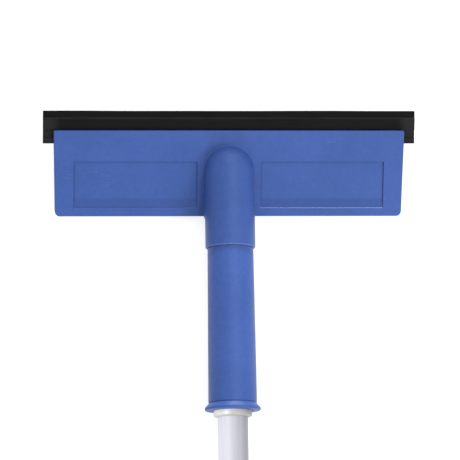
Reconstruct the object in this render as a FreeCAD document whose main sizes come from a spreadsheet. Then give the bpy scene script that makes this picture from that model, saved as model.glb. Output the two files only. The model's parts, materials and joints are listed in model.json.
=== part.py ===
"""Window cleaning squeegee with a plug-in pole, lying on its back.

A rubber strip slides lengthwise in the jaw of a two-piece moulded head. The head's
bullet-shaped hub is bent against the head's face and holds a tapered grip sleeve,
and the sleeve's mouth takes the plug of a thin coated steel pole.

Row frame, in millimetres: +Y runs along the handle towards the blade, +Z is up and
is the working side, and X runs along the blade. The squeegee rests on the lower back
edge of its head and on the cap of its pole, and the origin is below the middle of it.

Each piece is drawn in one of two frames that share the neck point, where the handle's
axis meets the head's face: the head frame (Z up the face, Y towards the back) and the
handle frame (Z up the handle's axis). Both are laid down about X by the placements at
the end of each part.
"""

import FreeCAD, Part
import math
import os

import Sketcher

SIZES = {
    # bend of the head's face against the handle's axis, in degrees
    "head_bend": 22.0,
    # rubber strip
    "blade_length": 250.0,
    "blade_above_head": 12.8,
    "lip_height": 5.0,
    "lip_root": 2.2,
    "lip_edge": 1.2,
    "blade_body": 4.6,
    "blade_neck": 3.0,
    "bead_height": 3.8,
    "bead_width": 5.2,
    "bead_round": 0.8,
    # head
    "head_width": 235.8,
    "head_draft": 1.0,
    "head_height": 58.6,
    "head_below_neck": 33.0,
    "front_depth": 5.5,
    "rear_depth": 4.5,
    "front_wall": 2.4,
    "rear_wall": 2.0,
    "edge_wall": 2.2,
    "corner_low": 3.4,
    "corner_high": 1.0,
    "edge_round": 0.8,
    "jaw_depth": 9.2,
    "jaw_floor": 1.6,
    "jaw_clear": 0.2,
    # shallow panels in the face
    "panel_length": 83.0,
    "panel_height": 31.5,
    "panel_from_middle": 21.4,
    "panel_above_foot": 6.0,
    "panel_depth": 1.0,
    "panel_ramp": 5.5,
    "panel_step": 0.3,
    # ribs inside the shells
    "rib_width": 1.2,
    "rib_pitch": 24.0,
    # hub
    "hub_radius": 16.75,
    "dome_length": 18.8,
    "dome_drop": 3.4,
    "hub_reach": 54.4,
    "rim_chamfer": 0.5,
    "socket_top": 11.0,
    # grip sleeve
    "spigot_radius": 12.9,
    "spigot_clear": 0.1,
    "spigot_bore": 10.2,
    "spigot_crown": 2.5,
    "grip_top_radius": 15.35,
    "grip_low_radius": 16.2,
    "grip_length": 103.9,
    "grip_bore": 11.6,
    "flange_radius": 18.65,
    "flange_height": 4.6,
    "flange_bevel": 2.0,
    "mouth_radius": 13.4,
    "mouth_depth": 2.7,
    "socket_radius": 12.3,
    # pole plug
    "plug_length": 56.0,
    "plug_clear": 0.25,
    "collar_radius": 12.9,
    "collar_proud": 2.3,
    "collar_bevel": 0.8,
    "collar_cone": 3.4,
    "collar_foot": 0.6,
    "flute_depth": 1.0,
    "flute_width": 2.6,
    "flute_margin": 4.0,
    # pole
    "pole_radius": 10.0,
    "pole_wall": 0.9,
    "pole_length": 500.0,
    "pole_clear": 0.05,
    # cap of the pole
    "cap_radius": 12.0,
    "cap_depth": 26.0,
    "cap_end_wall": 3.0,
    "eye_reach": 26.0,
    "eye_width": 20.0,
    "eye_thickness": 8.0,
    "eye_hole_radius": 4.5,
    # pins that hold plug and cap on the pole
    "pin_radius": 1.6,
    "pin_clear": 0.05,
    # screws
    "screw_radius": 1.5,
    "screw_head_radius": 2.8,
    "screw_head_height": 1.5,
    "screw_head_bevel": 0.7,
    "screw_clear": 0.05,
    "pilot_extra": 0.6,
    "boss_wall": 1.3,
    "boss_merge": 0.5,
    "neck_screw_radius": 1.9,
    "neck_screw_head_radius": 3.5,
    "neck_screw_drop": 12.0,
}

FLUTES = 6
RIBS_PER_SIDE = 3

doc = FreeCAD.newDocument("squeegee")
sheet = doc.addObject("Spreadsheet::Sheet", "sizes")
for row, (alias, number) in enumerate(SIZES.items(), start=1):
    sheet.set(f"A{row}", alias)
    sheet.set(f"B{row}", str(number))
    sheet.setAlias(f"B{row}", alias)
doc.recompute()


class Size:
    """A size that keeps its value beside the sheet expression that gives it."""

    def __init__(self, text, value):
        self.text = text
        self.value = value

    def combine(self, other, sign, value):
        right = other.text if isinstance(other, Size) else repr(other)
        return Size(f"({self.text} {sign} {right})", value)

    def __add__(self, other):
        return self.combine(other, "+", self.value + number_of(other))

    def __sub__(self, other):
        return self.combine(other, "-", self.value - number_of(other))

    def __mul__(self, other):
        return self.combine(other, "*", self.value * number_of(other))

    def __truediv__(self, other):
        return self.combine(other, "/", self.value / number_of(other))

    def __neg__(self):
        return Size(f"(0 - {self.text})", -self.value)


def number_of(item):
    """The plain number of a size or of a number."""
    return item.value if isinstance(item, Size) else float(item)


def size(alias):
    """The size in the sheet cell that carries this alias."""
    return Size(f"sizes.{alias}", float(sheet.get(alias)))


def cosine(angle):
    """The cosine of an angle in degrees."""
    return Size(f"cos({angle.text})", math.cos(math.radians(angle.value)))


def sine(angle):
    """The sine of an angle in degrees."""
    return Size(f"sin({angle.text})", math.sin(math.radians(angle.value)))


def angle_of(rise, run):
    """The angle whose tangent is rise over run, in degrees."""
    value = math.degrees(math.atan(rise.value / run.value))
    return Size(f"(atan({rise.text} / {run.text}) / 1 deg)", value)


ZERO = Size("0", 0.0)

# ---- heights and depths that several pieces share ------------------------------------

bend = size("head_bend")

# head frame: Z up the face from the neck point, Y towards the back
head_foot = -size("head_below_neck")
head_top = size("head_height") - size("head_below_neck")
face_plane = ZERO
parting_plane = face_plane + size("front_depth")
back_plane = parting_plane + size("rear_depth")
blade_plane = (face_plane + back_plane) / 2
bead_foot = head_top - size("jaw_depth")
slot_foot = bead_foot - size("jaw_clear")
bead_top = bead_foot + size("bead_height")
cavity_top = slot_foot - size("jaw_floor")
cavity_foot = head_foot + size("edge_wall")
cavity_side = size("head_width") / 2 - size("head_draft") - size("edge_wall")
hub_side = size("hub_radius") + size("edge_wall")

# handle frame: Z along the handle's axis, falling from the neck point to the pole
dome_centre = -size("dome_drop")
rim_level = -size("hub_reach")
grip_foot = rim_level - size("grip_length")
flange_tip = grip_foot - size("flange_height")
mouth_level = flange_tip - size("flange_bevel")
ledge_level = mouth_level + size("mouth_depth")
collar_seat = ledge_level - size("plug_clear")
plug_top = collar_seat + size("plug_length")
plug_radius = size("socket_radius") - size("plug_clear")
collar_foot_level = mouth_level - size("collar_proud")
bush_foot = collar_foot_level - size("collar_cone")
pole_top = plug_top - size("pole_radius")
pole_foot = pole_top - size("pole_length")
cap_top = pole_foot + size("cap_depth")
cap_foot = pole_foot - size("cap_end_wall")
eye_foot = cap_foot - size("eye_reach")
eye_centre = eye_foot + size("eye_width") / 2
plug_pin_level = (collar_seat + plug_top) / 2
cap_pin_level = (cap_top + pole_foot) / 2
neck_screw_level = rim_level + size("neck_screw_drop")

# ---- how the squeegee lies ------------------------------------------------------------

# The rounded lower back edge of the head is a circle about this centre.
heel_y = back_plane - size("edge_round")
heel_z = head_foot + size("edge_round")
heel_behind_axis = heel_y * cosine(bend) - heel_z * sine(bend)
heel_along_axis = heel_y * sine(bend) + heel_z * cosine(bend)
heel_drop = heel_behind_axis + size("edge_round")
rest_slope = angle_of(heel_drop - size("cap_radius"), heel_along_axis - cap_foot)
neck_height = size("cap_radius") * cosine(rest_slope) - cap_foot * sine(rest_slope)
head_angle = bend + rest_slope
blade_tip_back = blade_plane + size("lip_edge") / 2
blade_tip = head_top + size("blade_above_head")
far_end = blade_tip * cosine(head_angle) + blade_tip_back * sine(head_angle)
near_end = eye_foot * cosine(rest_slope) - size("eye_thickness") / 2 * sine(rest_slope)
neck_y = (far_end + near_end) / -2

parts = []


def bind(item, path, amount):
    """Bind one property of an object to a size."""
    item.setExpression(path, amount.text)


def lay_down(item, label, angle):
    """Name a finished part and lay it down about X, its origin on the neck point."""
    item.Label = label
    item.Placement = FreeCAD.Placement(
        FreeCAD.Vector(0, neck_y.value, neck_height.value),
        FreeCAD.Rotation(FreeCAD.Vector(1, 0, 0), angle.value - 90),
    )
    bind(item, "Placement.Rotation.Angle", angle - 90)
    bind(item, "Placement.Base.y", neck_y)
    bind(item, "Placement.Base.z", neck_height)
    parts.append(item)


def origin_feature(body, role):
    """The body's own origin plane or axis of this role."""
    return next(item for item in body.Origin.OriginFeatures if item.Role == role)


def new_sketch(body, name, role, lift=ZERO):
    """A sketch on one of the body's origin planes, raised along its normal."""
    sketch = body.newObject("Sketcher::SketchObject", name)
    sketch.AttachmentSupport = (origin_feature(body, role), "")
    sketch.MapMode = "FlatFace"
    bind(sketch, "AttachmentOffset.Base.z", lift)
    return sketch


def fix_point(sketch, geometry, corner, across, up):
    """Hold one point of a sketch at a distance across and up from its origin."""
    for kind, amount in (("DistanceX", across), ("DistanceY", up)):
        held = sketch.addConstraint(
            Sketcher.Constraint(kind, -1, 1, geometry, corner, amount.value)
        )
        bind(sketch, f"Constraints[{held}]", amount)


def arc_between(start, end, radius):
    """The short arc from start to end, anticlockwise where the radius is positive."""
    chord = end - start
    half = chord.Length / 2
    rise = math.sqrt(max(radius * radius - half * half, 0.0))
    side = FreeCAD.Vector(-chord.y, chord.x, 0).normalize()
    centre = (start + end) / 2 + side * math.copysign(rise, radius)
    middle = centre - side * radius
    return Part.Arc(start, middle, end)


def closed_profile(sketch, corners, arcs=None):
    """Draw a closed outline through the corners, beside any that the sketch holds.

    arcs maps the number of a side to its radius, positive where the arc runs
    anticlockwise; every other side is straight.
    """
    arcs = arcs or {}
    points = [FreeCAD.Vector(x.value, y.value, 0) for x, y in corners]
    count = len(points)
    base = sketch.GeometryCount
    for side in range(count):
        start = points[side]
        end = points[(side + 1) % count]
        if side in arcs:
            sketch.addGeometry(arc_between(start, end, arcs[side].value), False)
        else:
            sketch.addGeometry(Part.LineSegment(start, end), False)
    # A clockwise arc is stored the other way round, so its first point is its end.
    first = [2 if side in arcs and arcs[side].value < 0 else 1 for side in range(count)]
    for side in range(count):
        following = (side + 1) % count
        last = 3 - first[side]
        sketch.addConstraint(
            Sketcher.Constraint("Coincident", base + side, last, base + following, first[following])
        )
    for side, (across, up) in enumerate(corners):
        fix_point(sketch, base + side, first[side], across, up)
    for side, radius in arcs.items():
        magnitude = -radius if radius.value < 0 else radius
        held = sketch.addConstraint(Sketcher.Constraint("Radius", base + side, magnitude.value))
        bind(sketch, f"Constraints[{held}]", magnitude)
    return sketch


def circles(sketch, centres, radius):
    """Draw equal circles about the centres."""
    for index, (across, up) in enumerate(centres):
        centre = FreeCAD.Vector(across.value, up.value, 0)
        up_axis = FreeCAD.Vector(0, 0, 1)
        sketch.addGeometry(Part.Circle(centre, up_axis, radius.value), False)
        fix_point(sketch, index, 3, across, up)
        held = sketch.addConstraint(Sketcher.Constraint("Radius", index, radius.value))
        bind(sketch, f"Constraints[{held}]", radius)
    return sketch


def rectangle(left, right, low, high):
    """The four corners of an upright rectangle, anticlockwise."""
    return [(left, low), (right, low), (right, high), (left, high)]


def add_feature(body, kind, name, sketch, length, reverse=False, both=False):
    """Pad or pocket a sketch by a length."""
    feature = body.newObject(f"PartDesign::{kind}", name)
    feature.Profile = sketch
    bind(feature, "Length", length)
    feature.Reversed = reverse
    feature.Midplane = both
    return feature


def turn_profile(body, name, sketch, axis="Z_Axis"):
    """Revolve a sketch about one of the body's axes."""
    feature = body.newObject("PartDesign::Revolution", name)
    feature.Profile = sketch
    feature.ReferenceAxis = (origin_feature(body, axis), [""])
    feature.Angle = 360
    return feature


def mirror_feature(body, name, feature, role="YZ_Plane"):
    """Repeat a feature on the other side of one of the body's planes."""
    mirrored = body.newObject("PartDesign::Mirrored", name)
    mirrored.Originals = [feature]
    mirrored.MirrorPlane = (origin_feature(body, role), [""])
    body.Tip = mirrored
    return mirrored


def along_handle(body, kind, name, level):
    """A primitive in the head frame that stands on the handle's axis at a level."""
    feature = body.newObject(f"PartDesign::{kind}", name)
    feature.AttachmentSupport = (origin_feature(body, "XY_Plane"), "")
    feature.MapMode = "FlatFace"
    feature.AttachmentOffset = FreeCAD.Placement(
        FreeCAD.Vector(0, 0, 0), FreeCAD.Rotation(FreeCAD.Vector(1, 0, 0), -bend.value)
    )
    bind(feature, "AttachmentOffset.Rotation.Angle", -bend)
    bind(feature, "AttachmentOffset.Base.y", level * sine(bend))
    bind(feature, "AttachmentOffset.Base.z", level * cosine(bend))
    return feature


def edges_near(feature, test):
    """Names of the feature's edges whose middle passes the test."""
    names = []
    for index, edge in enumerate(feature.Shape.Edges, start=1):
        middle = edge.valueAt((edge.FirstParameter + edge.LastParameter) / 2)
        if test(middle):
            names.append(f"Edge{index}")
    return names


def dress_edges(body, kind, name, test, amount):
    """Fillet or chamfer those edges of the body's last feature that pass the test."""
    doc.recompute()
    base = body.Tip
    feature = body.newObject(f"PartDesign::{kind}", name)
    feature.Base = (base, edges_near(base, test))
    bind(feature, "Radius" if kind == "Fillet" else "Size", amount)
    return feature


def near(value, target, slack=0.01):
    """Whether a number lies within the slack of a target."""
    return abs(value - number_of(target)) < slack


# ---- rubber blade ---------------------------------------------------------------------


def make_rubber_blade():
    """An extruded strip: bead in the jaw, neck, body above the head and thin lip."""
    body = doc.addObject("PartDesign::Body", "rubber_blade")
    seat = head_top + size("jaw_clear")
    shoulder = blade_tip - size("lip_height")
    round_bead = size("bead_round")

    def side(sign):
        """Corners of one flank from the bead up to the lip's edge."""
        bead = size("bead_width") / 2
        steps = [
            (bead - round_bead, bead_foot),
            (bead, bead_foot + round_bead),
            (bead, bead_top - round_bead),
            (bead - round_bead, bead_top),
            (size("blade_neck") / 2, bead_top),
            (size("blade_neck") / 2, seat),
            (size("blade_body") / 2, seat),
            (size("blade_body") / 2, shoulder),
            (size("lip_root") / 2, shoulder + round_bead),
            (size("lip_edge") / 2, blade_tip),
        ]
        return [(blade_plane + across * sign, up) for across, up in steps]

    right = side(1)
    left = list(reversed(side(-1)))
    last = len(right) + len(left) - 1
    rounds = {0: round_bead, 2: round_bead, last - 1: round_bead, last - 3: round_bead}
    sketch = new_sketch(body, "blade_section", "YZ_Plane")
    closed_profile(sketch, right + left, rounds)
    add_feature(body, "Pad", "blade_extrusion", sketch, size("blade_length"), both=True)
    lay_down(body, "rubber_blade", head_angle)


# ---- head shells ----------------------------------------------------------------------


def side_at(level):
    """Half the head's width at one level: its sides draw in towards the foot."""
    drawn_in = size("head_draft") * (head_top - level) / size("head_height")
    return size("head_width") / 2 - drawn_in


def head_outline(sketch):
    """The head's outline: drafted sides, larger rounds at the foot than at the jaw."""
    slant = angle_of(size("head_draft"), size("head_height"))
    low = size("corner_low")
    high = size("corner_high")
    side_foot = head_foot + low - low * sine(slant)
    side_top = head_top - high - high * sine(slant)
    foot_end = side_at(side_foot) - low * cosine(slant)
    top_end = side_at(side_top) - high * cosine(slant)
    right = [
        (foot_end, head_foot),
        (side_at(side_foot), side_foot),
        (side_at(side_top), side_top),
        (top_end, head_top),
    ]
    left = [(-across, up) for across, up in reversed(right)]
    return closed_profile(sketch, right + left, {0: low, 2: high, 4: high, 6: low})


def on_outline(point, plane):
    """Whether a point lies on the shell's outline in one plane, apart from the jaw."""
    side = side_at(point.z).value
    at_side = near(abs(point.x), side)
    below_side = point.z < (head_foot + size("corner_low")).value
    at_corner = abs(point.x) > side - size("corner_low").value and below_side
    at_foot = near(point.z, head_foot)
    return near(point.y, plane) and (at_side or at_corner or at_foot)


def on_hub_junction(point):
    """Whether a point lies on the line where the hub and its cheeks leave the face."""
    within_hub = abs(point.x) < hub_side.value
    below_jaw = point.z < size("dome_length").value
    at_foot = near(point.z, head_foot)
    return near(point.y, face_plane) and within_hub and below_jaw and not at_foot


def on_rim(point):
    """Whether a point lies level with the hub's rim, along the handle's axis."""
    level = point.y * sine(bend).value + point.z * cosine(bend).value
    return near(level, rim_level)


def add_hub(body):
    """The hub along the handle's axis: a barrel under a bullet-shaped end."""
    barrel = along_handle(body, "AdditiveCylinder", "hub_barrel", rim_level)
    bind(barrel, "Radius", size("hub_radius"))
    bind(barrel, "Height", size("hub_reach") - size("dome_drop"))
    dome = along_handle(body, "AdditiveEllipsoid", "hub_dome", dome_centre)
    bind(dome, "Radius1", size("dome_length"))
    bind(dome, "Radius2", size("hub_radius"))
    bind(dome, "Radius3", size("hub_radius"))
    dome.Angle1 = 0
    dome.Angle2 = 90
    dome.Angle3 = 360
    return dome


def add_hub_cheeks(body):
    """Upright cheeks that carry the barrel's widest line straight down to the face."""
    axis_at_foot = head_foot / cosine(bend) * sine(bend)
    cheek_top = dome_centre * cosine(bend)
    corners = [
        (dome_centre * sine(bend), cheek_top),
        (axis_at_foot, head_foot),
        (parting_plane, head_foot),
        (parting_plane, cheek_top),
    ]
    sketch = new_sketch(body, "cheek_section", "YZ_Plane")
    closed_profile(sketch, corners)
    return add_feature(body, "Pad", "hub_cheeks", sketch, size("hub_radius") * 2, both=True)


def cut_beyond_parting(body, name, towards_back):
    """Take away all that lies on one side of the parting plane."""
    reach = size("head_width")
    sketch = new_sketch(body, name + "_outline", "XZ_Plane", -parting_plane)
    closed_profile(sketch, rectangle(-reach, reach, -reach, reach))
    return add_feature(body, "Pocket", name, sketch, reach, reverse=not towards_back)


def cut_jaw(body):
    """The slot that the strip's bead and neck slide in, along the head's top edge."""
    clear = size("jaw_clear")
    bead = size("bead_width") / 2 + clear
    neck = size("blade_neck") / 2 + clear
    overshoot = head_top + size("jaw_depth")
    corners = [
        (blade_plane - bead, slot_foot),
        (blade_plane + bead, slot_foot),
        (blade_plane + bead, bead_top + clear),
        (blade_plane + neck, bead_top + clear),
        (blade_plane + neck, overshoot),
        (blade_plane - neck, overshoot),
        (blade_plane - neck, bead_top + clear),
        (blade_plane - bead, bead_top + clear),
    ]
    sketch = new_sketch(body, "jaw_section", "YZ_Plane")
    closed_profile(sketch, corners)
    return add_feature(body, "Pocket", "jaw_slot", sketch, size("head_width") * 2, both=True)


def cut_cavity(body, depth, towards_front):
    """Core out the shell on both sides of the hub, from the parting plane inwards."""
    sketch = new_sketch(body, "cavity_outlines", "XZ_Plane", -parting_plane)
    closed_profile(sketch, rectangle(hub_side, cavity_side, cavity_foot, cavity_top))
    closed_profile(sketch, rectangle(-cavity_side, -hub_side, cavity_foot, cavity_top))
    return add_feature(body, "Pocket", "cavities", sketch, depth, reverse=towards_front)


def add_ribs(body, depth, towards_front):
    """Upright ribs across each cavity, level with the parting plane."""
    half = size("rib_width") / 2
    sketch = new_sketch(body, "rib_outlines", "XZ_Plane", -parting_plane)
    for side in (-1, 1):
        for number in range(1, RIBS_PER_SIDE + 1):
            middle = (hub_side + size("rib_pitch") * number) * side
            closed_profile(sketch, rectangle(middle - half, middle + half, cavity_foot, cavity_top))
    return add_feature(body, "Pad", "ribs", sketch, depth, reverse=not towards_front)


def shell_screw_places():
    """Where the six screws go: four under the jaw and two beside the panels' feet."""
    inset = size("screw_radius") + size("boss_wall") - size("boss_merge")
    outer = cavity_side - inset
    inner = hub_side + inset
    high = cavity_top - inset
    low = cavity_foot + inset
    right = [(inner, high), (outer, high), (outer, low)]
    return right + [(-across, up) for across, up in right]


def bore_socket(body):
    """The round socket for the grip's spigot, along the handle's axis."""
    past_rim = size("rim_chamfer")
    bore = along_handle(body, "SubtractiveCylinder", "spigot_socket", rim_level - past_rim)
    bind(bore, "Radius", size("spigot_radius") + size("spigot_clear"))
    bind(bore, "Height", size("hub_reach") + past_rim - size("socket_top"))
    return bore


def make_front_shell():
    """Face with two shallow panels, front of the jaw, and the hub with its socket."""
    body = doc.addObject("PartDesign::Body", "front_shell")
    sketch = new_sketch(body, "face_outline", "XZ_Plane", -face_plane)
    head_outline(sketch)
    add_feature(body, "Pad", "face_plate", sketch, size("front_depth"), reverse=True)
    add_hub(body)
    dress_edges(body, "Chamfer", "hub_rim", on_rim, size("rim_chamfer"))
    add_hub_cheeks(body)

    def soft_edge(middle):
        """The face's outline and the hub's root share one round."""
        return on_outline(middle, face_plane) or on_hub_junction(middle)

    dress_edges(body, "Fillet", "face_round", soft_edge, size("edge_round"))
    cut_beyond_parting(body, "back_cut", towards_back=True)
    wall_depth = size("front_depth") - size("front_wall")
    cut_cavity(body, wall_depth, towards_front=True)
    add_ribs(body, wall_depth, towards_front=True)
    boss_radius = size("screw_radius") + size("boss_wall")
    bosses = circles(
        new_sketch(body, "boss_circles", "XZ_Plane", -parting_plane),
        shell_screw_places(),
        boss_radius,
    )
    add_feature(body, "Pad", "screw_bosses", bosses, wall_depth)
    cut_jaw(body)
    cut_panels(body)
    bore_socket(body)
    pilots = circles(
        new_sketch(body, "pilot_circles", "XZ_Plane", -parting_plane),
        shell_screw_places(),
        size("screw_radius") + size("screw_clear"),
    )
    pilot_depth = wall_depth + size("pilot_extra")
    add_feature(body, "Pocket", "screw_pilots", pilots, pilot_depth, reverse=True)
    cut_neck_screw_hole(body)
    lay_down(body, "front_shell", head_angle)


def cut_panels(body):
    """Two shallow panels in the face, each with a small step and a ramp at its foot."""
    foot = head_foot + size("panel_above_foot")
    floor = face_plane + size("panel_depth")
    corners = [
        (face_plane + size("panel_step"), foot),
        (floor, foot + size("panel_ramp")),
        (floor, foot + size("panel_height")),
        (face_plane - size("panel_depth"), foot + size("panel_height")),
        (face_plane - size("panel_depth"), foot),
    ]
    sketch = new_sketch(body, "panel_section", "YZ_Plane", size("panel_from_middle"))
    closed_profile(sketch, corners)
    panel = add_feature(body, "Pocket", "panel", sketch, size("panel_length"), reverse=True)
    return mirror_feature(body, "panel_pair", panel)


def cut_neck_screw_hole(body):
    """The hole through the hub's back for the screw that holds the grip's spigot."""
    hole = across_handle(body, "SubtractiveCylinder", "neck_screw_hole", neck_screw_level)
    bind(hole, "Radius", size("neck_screw_radius") + size("screw_clear"))
    bind(hole, "Height", size("hub_radius") * 2)
    seat_depth = size("hub_radius") - size("screw_head_height")
    seat = across_handle(body, "SubtractiveCylinder", "neck_screw_seat", neck_screw_level, seat_depth)
    bind(seat, "Radius", size("neck_screw_head_radius") + size("screw_clear"))
    bind(seat, "Height", size("hub_radius"))


def across_handle(body, kind, name, level, away=ZERO):
    """A primitive in the head frame that points backwards, square to the handle's axis."""
    feature = body.newObject(f"PartDesign::{kind}", name)
    feature.AttachmentSupport = (origin_feature(body, "XY_Plane"), "")
    feature.MapMode = "FlatFace"
    feature.AttachmentOffset = FreeCAD.Placement(
        FreeCAD.Vector(0, 0, 0), FreeCAD.Rotation(FreeCAD.Vector(1, 0, 0), -90 - bend.value)
    )
    bind(feature, "AttachmentOffset.Rotation.Angle", -bend - 90)
    bind(feature, "AttachmentOffset.Base.y", level * sine(bend) + away * cosine(bend))
    bind(feature, "AttachmentOffset.Base.z", level * cosine(bend) - away * sine(bend))
    return feature


def make_rear_cover():
    """Back of the jaw and a flat cover with the hub's rear bulge and six screw seats."""
    body = doc.addObject("PartDesign::Body", "rear_cover")
    add_hub(body)
    cut_beyond_parting(body, "front_cut", towards_back=False)
    sketch = new_sketch(body, "cover_outline", "XZ_Plane", -parting_plane)
    head_outline(sketch)
    add_feature(body, "Pad", "cover_plate", sketch, size("rear_depth"), reverse=True)
    wall_depth = size("rear_depth") - size("rear_wall")
    cut_cavity(body, wall_depth, towards_front=False)
    add_ribs(body, wall_depth, towards_front=False)
    bosses = circles(
        new_sketch(body, "seat_bosses", "XZ_Plane", -parting_plane),
        shell_screw_places(),
        size("screw_radius") + size("boss_wall"),
    )
    add_feature(body, "Pad", "seat_columns", bosses, wall_depth, reverse=True)
    cut_jaw(body)
    bore_socket(body)
    holes = circles(
        new_sketch(body, "hole_circles", "XZ_Plane", -back_plane),
        shell_screw_places(),
        size("screw_radius") + size("screw_clear"),
    )
    add_feature(body, "Pocket", "screw_holes", holes, size("rear_depth"), reverse=True)
    seats = circles(
        new_sketch(body, "seat_circles", "XZ_Plane", -back_plane),
        shell_screw_places(),
        size("screw_head_radius") + size("screw_clear"),
    )
    add_feature(body, "Pocket", "screw_seats", seats, size("screw_head_height"), reverse=True)

    def back_edge(middle):
        """The cover's outline on the back."""
        return on_outline(middle, back_plane)

    dress_edges(body, "Fillet", "back_round", back_edge, size("edge_round"))
    lay_down(body, "rear_cover", head_angle)


# ---- screws ---------------------------------------------------------------------------


def make_screws(label, places, seat, length, radii, angle):
    """Equal pan-head screws from behind: their heads on the seat, shanks towards the front."""
    shank_radius, head_radius = radii
    body = doc.addObject("PartDesign::Body", label)
    body.AllowCompound = True
    shanks = circles(new_sketch(body, "shank_circles", "XZ_Plane", -seat), places, shank_radius)
    add_feature(body, "Pad", "shanks", shanks, length)
    heads = circles(new_sketch(body, "head_circles", "XZ_Plane", -seat), places, head_radius)
    add_feature(body, "Pad", "heads", heads, size("screw_head_height"), reverse=True)

    def at_crown(middle):
        """The outer edge of a head."""
        return near(middle.y, seat + size("screw_head_height"))

    dress_edges(body, "Chamfer", "head_bevels", at_crown, size("screw_head_bevel"))
    lay_down(body, label, angle)


def make_shell_screws():
    """Six equal self-tapping screws that close the head from behind."""
    seat = back_plane - size("screw_head_height")
    length = seat - face_plane - size("front_wall")
    radii = (size("screw_radius"), size("screw_head_radius"))
    make_screws("shell_screws", shell_screw_places(), seat, length, radii, head_angle)


def make_neck_screw():
    """The screw from behind that locks the grip's spigot in the hub."""
    seat = size("hub_radius") - size("screw_head_height")
    length = seat - size("spigot_bore")
    radii = (size("neck_screw_radius"), size("neck_screw_head_radius"))
    make_screws("neck_screw", [(ZERO, neck_screw_level)], seat, length, radii, rest_slope)


# ---- grip sleeve ----------------------------------------------------------------------


def make_grip_sleeve():
    """A tapered grip: spigot in the hub above, flared flange round the mouth below."""
    body = doc.addObject("PartDesign::Body", "grip_sleeve")
    spigot_top = -size("socket_top") - size("spigot_clear")
    chamfer = size("rim_chamfer")
    flare_reach = size("flange_radius") - size("grip_low_radius")
    flare = (flare_reach * flare_reach + size("flange_height") * size("flange_height")) / (
        flare_reach * 2
    )
    corners = [
        (size("spigot_radius") - chamfer, spigot_top),
        (ZERO, spigot_top),
        (ZERO, spigot_top - size("spigot_crown")),
        (size("spigot_bore"), spigot_top - size("spigot_crown")),
        (size("spigot_bore"), rim_level),
        (size("grip_bore"), rim_level - size("spigot_crown")),
        (size("grip_bore"), plug_top + size("plug_clear")),
        (size("socket_radius"), plug_top + size("plug_clear")),
        (size("socket_radius"), ledge_level),
        (size("mouth_radius"), ledge_level),
        (size("mouth_radius"), mouth_level),
        (size("flange_radius"), flange_tip),
        (size("grip_low_radius"), grip_foot),
        (size("grip_top_radius"), rim_level - chamfer),
        (size("grip_top_radius") - chamfer, rim_level),
        (size("spigot_radius"), rim_level),
        (size("spigot_radius"), spigot_top - chamfer),
    ]
    sketch = new_sketch(body, "sleeve_section", "XZ_Plane")
    closed_profile(sketch, corners, {11: -flare})
    turn_profile(body, "sleeve_turning", sketch)
    hole_sketch = new_sketch(body, "neck_pilot", "XZ_Plane")
    circles(hole_sketch, [(ZERO, neck_screw_level)], size("neck_screw_radius") + size("screw_clear"))
    add_feature(body, "Pocket", "neck_pilot_hole", hole_sketch, size("spigot_radius") * 2)
    lay_down(body, "grip_sleeve", rest_slope)


# ---- pole -----------------------------------------------------------------------------


def drill_across(body, name, level, radius):
    """A hole along X right through a piece of the handle, at one level."""
    sketch = new_sketch(body, name + "_circle", "YZ_Plane")
    circles(sketch, [(ZERO, level)], radius)
    return add_feature(body, "Pocket", name, sketch, size("cap_radius") * 4, both=True)


def make_pole_plug():
    """A plug with blind flutes that fits the grip's mouth, and a collar left in sight."""
    body = doc.addObject("PartDesign::Body", "pole_plug")
    bore = size("pole_radius") + size("pole_clear")
    bevel = size("collar_bevel")
    corners = [
        (bore, plug_top),
        (bore, bush_foot),
        (bore + size("collar_foot"), bush_foot),
        (size("collar_radius") - bevel, collar_foot_level),
        (size("collar_radius"), collar_foot_level + bevel),
        (size("collar_radius"), collar_seat),
        (plug_radius, collar_seat),
        (plug_radius, plug_top - size("rim_chamfer")),
        (plug_radius - size("rim_chamfer"), plug_top),
    ]
    sketch = new_sketch(body, "plug_section", "XZ_Plane")
    closed_profile(sketch, corners)
    turn_profile(body, "plug_turning", sketch)
    flute_floor = plug_radius - size("flute_depth")
    half = size("flute_width") / 2
    flute_foot = collar_seat + size("flute_margin")
    flute_length = size("plug_length") - size("flute_margin") * 2
    flute_sketch = new_sketch(body, "flute_section", "XY_Plane", flute_foot)
    closed_profile(flute_sketch, rectangle(-half, half, flute_floor, plug_radius * 2))
    flute = add_feature(body, "Pocket", "flute", flute_sketch, flute_length, reverse=True)
    ring = body.newObject("PartDesign::PolarPattern", "flutes")
    ring.Originals = [flute]
    ring.Axis = (origin_feature(body, "Z_Axis"), [""])
    ring.Angle = 360
    ring.Occurrences = FLUTES
    body.Tip = ring
    drill_across(body, "plug_pin_hole", plug_pin_level, size("pin_radius") + size("pin_clear"))
    lay_down(body, "pole_plug", rest_slope)


def make_pole_tube():
    """The coated steel tube, open at both ends and drilled for its two pins."""
    body = doc.addObject("PartDesign::Body", "pole_tube")
    outer = size("pole_radius")
    inner = size("pole_radius") - size("pole_wall")
    sketch = new_sketch(body, "wall_section", "XZ_Plane")
    closed_profile(sketch, rectangle(inner, outer, pole_foot, pole_top))
    turn_profile(body, "tube_turning", sketch)
    hole = size("pin_radius") + size("pin_clear")
    drill_across(body, "plug_pin_hole", plug_pin_level, hole)
    drill_across(body, "cap_pin_hole", cap_pin_level, hole)
    lay_down(body, "pole_tube", rest_slope)


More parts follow.
